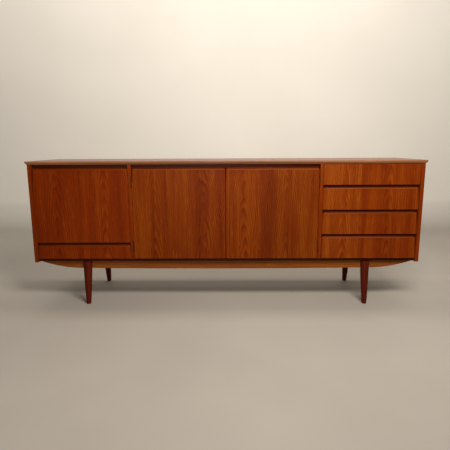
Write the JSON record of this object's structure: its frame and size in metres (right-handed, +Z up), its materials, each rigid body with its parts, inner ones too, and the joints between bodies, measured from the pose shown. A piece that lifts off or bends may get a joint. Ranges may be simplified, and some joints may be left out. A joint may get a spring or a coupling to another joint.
{
  "type": "sideboard buffet",
  "caption": "Long low teak sideboard: drop-down bar flap with a drawer below, paired doors, a bank of drawers, boat-shaped aprons and turned tapered legs.",
  "frame": {"origin": "on the floor under the middle of the top", "axes": "+X to the right seen from the front, +Y to the back, +Z up; the fronts face -Y"},
  "size_m": [2.1, 0.45, 0.785],
  "materials": {
    "teak_veneer": "oiled teak veneer, satin, figured grain",
    "solid_teak": "oiled solid teak, satin",
    "drawer_wood": "pale hardwood, thin lacquer",
    "plywood": "thin plywood, matt",
    "brass_hardware": "aged brass, satin"
  },
  "bodies": {
    "case": {"case_top": "teak_veneer", "case_side_left": "teak_veneer", "case_side_right": "teak_veneer", "case_divider_left": "teak_veneer", "case_divider_right": "teak_veneer", "case_bottom": "teak_veneer", "case_back": "plywood", "bar_floor": "teak_veneer", "centre_shelf": "teak_veneer", "door_catch_left": "brass_hardware", "door_catch_right": "brass_hardware", "apron_front": "solid_teak", "apron_rear": "solid_teak", "cross_rail_left": "solid_teak", "cross_rail_right": "solid_teak", "leg_front_left": "solid_teak", "leg_front_right": "solid_teak", "leg_rear_left": "solid_teak", "leg_rear_right": "solid_teak", "flap_pivot_left": "brass_hardware", "flap_pivot_right": "brass_hardware", "flap_stay_stud": "brass_hardware", "hinge_left_lower_fixed": "brass_hardware", "hinge_left_upper_fixed": "brass_hardware", "hinge_right_lower_fixed": "brass_hardware", "hinge_right_upper_fixed": "brass_hardware", "drawer_1_runner_left": "drawer_wood", "drawer_1_runner_right": "drawer_wood", "drawer_2_runner_left": "drawer_wood", "drawer_2_runner_right": "drawer_wood", "drawer_3_runner_left": "drawer_wood", "drawer_3_runner_right": "drawer_wood", "drawer_4_runner_left": "drawer_wood", "drawer_4_runner_right": "drawer_wood", "bar_drawer_runner_left": "drawer_wood", "bar_drawer_runner_right": "drawer_wood"},
    "flap": {"flap_panel": "teak_veneer", "flap_stay_bracket": "brass_hardware"},
    "flap_stay": {"flap_stay_arm": "brass_hardware"},
    "door_left": {"door_left_panel": "teak_veneer", "hinge_left_lower_moving": "brass_hardware", "hinge_left_upper_moving": "brass_hardware"},
    "door_right": {"door_right_panel": "teak_veneer", "hinge_right_lower_moving": "brass_hardware", "hinge_right_upper_moving": "brass_hardware"},
    "drawer_1": {"drawer_1_front": "teak_veneer", "drawer_1_box": "drawer_wood", "drawer_1_bottom": "plywood"},
    "drawer_2": {"drawer_2_front": "teak_veneer", "drawer_2_box": "drawer_wood", "drawer_2_bottom": "plywood"},
    "drawer_3": {"drawer_3_front": "teak_veneer", "drawer_3_box": "drawer_wood", "drawer_3_bottom": "plywood"},
    "drawer_4": {"drawer_4_front": "teak_veneer", "drawer_4_box": "drawer_wood", "drawer_4_bottom": "plywood"},
    "bar_drawer": {"bar_drawer_front": "teak_veneer", "bar_drawer_box": "drawer_wood", "bar_drawer_bottom": "plywood"}
  },
  "joints": [
    {"name": "flap_hinge", "type": "hinge", "parent": "case", "child": "flap", "pos_m": [-0.768, -0.208, 0.358], "axis": [1, 0, 0], "range_deg": [0, 90]},
    {"name": "flap_stay_pivot", "type": "hinge", "parent": "flap", "child": "flap_stay", "pos_m": [-1.0148, -0.191, 0.55226], "axis": [1, 0, 0], "range_deg": [-45, 0]},
    {"name": "door_left_hinge", "type": "hinge", "parent": "case", "child": "door_left", "pos_m": [-0.49525, -0.22005, 0.5035], "axis": [0, 0, -1], "range_deg": [0, 90]},
    {"name": "door_right_hinge", "type": "hinge", "parent": "case", "child": "door_right", "pos_m": [0.49525, -0.22005, 0.5035], "axis": [0, 0, 1], "range_deg": [0, 90]},
    {"name": "drawer_1_slide", "type": "slide", "parent": "case", "child": "drawer_1", "axis": [0, -1, 0], "range_m": [0, 0.3]},
    {"name": "drawer_2_slide", "type": "slide", "parent": "case", "child": "drawer_2", "axis": [0, -1, 0], "range_m": [0, 0.3]},
    {"name": "drawer_3_slide", "type": "slide", "parent": "case", "child": "drawer_3", "axis": [0, -1, 0], "range_m": [0, 0.3]},
    {"name": "drawer_4_slide", "type": "slide", "parent": "case", "child": "drawer_4", "axis": [0, -1, 0], "range_m": [0, 0.3]},
    {"name": "bar_drawer_slide", "type": "slide", "parent": "case", "child": "bar_drawer", "axis": [0, -1, 0], "range_m": [0, 0.3]}
  ],
  "couplings": [
    {"joint": "flap_stay_pivot", "follows": "flap_hinge", "ratio": -0.5}
  ]
}
